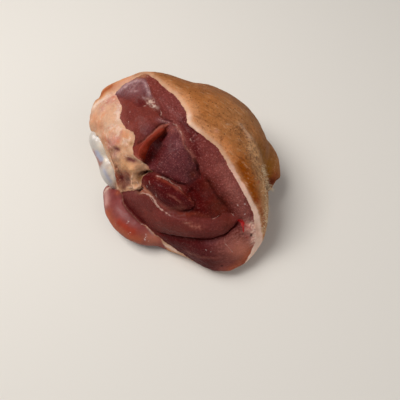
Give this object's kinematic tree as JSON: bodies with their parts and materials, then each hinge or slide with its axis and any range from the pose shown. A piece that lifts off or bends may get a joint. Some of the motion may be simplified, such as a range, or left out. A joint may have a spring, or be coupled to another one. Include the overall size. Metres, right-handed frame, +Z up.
{
  "type": "pork knuckle",
  "caption": "Raw pork knuckle lying on its rind: muscles and seams on the cut face, white knee joint at one side, a loose flap beside it, shin bone through to the sawn shank.",
  "frame": {"origin": "on the surface that the knuckle rests on, under the middle of its bounding box", "axes": "+Z up; the cut face leans towards -Y; the knee joint is at -X and the sawn end of the shank at +X"},
  "size_m": [0.1768, 0.1836, 0.1003],
  "materials": {
    "meat": "raw muscle, moist; the rind and fat are tan and cream in the scene",
    "shank_bone": "wet cartilage on bone"
  },
  "bodies": {
    "root": {"meat": "meat", "shank_bone": "shank_bone"}
  },
  "joints": []
}
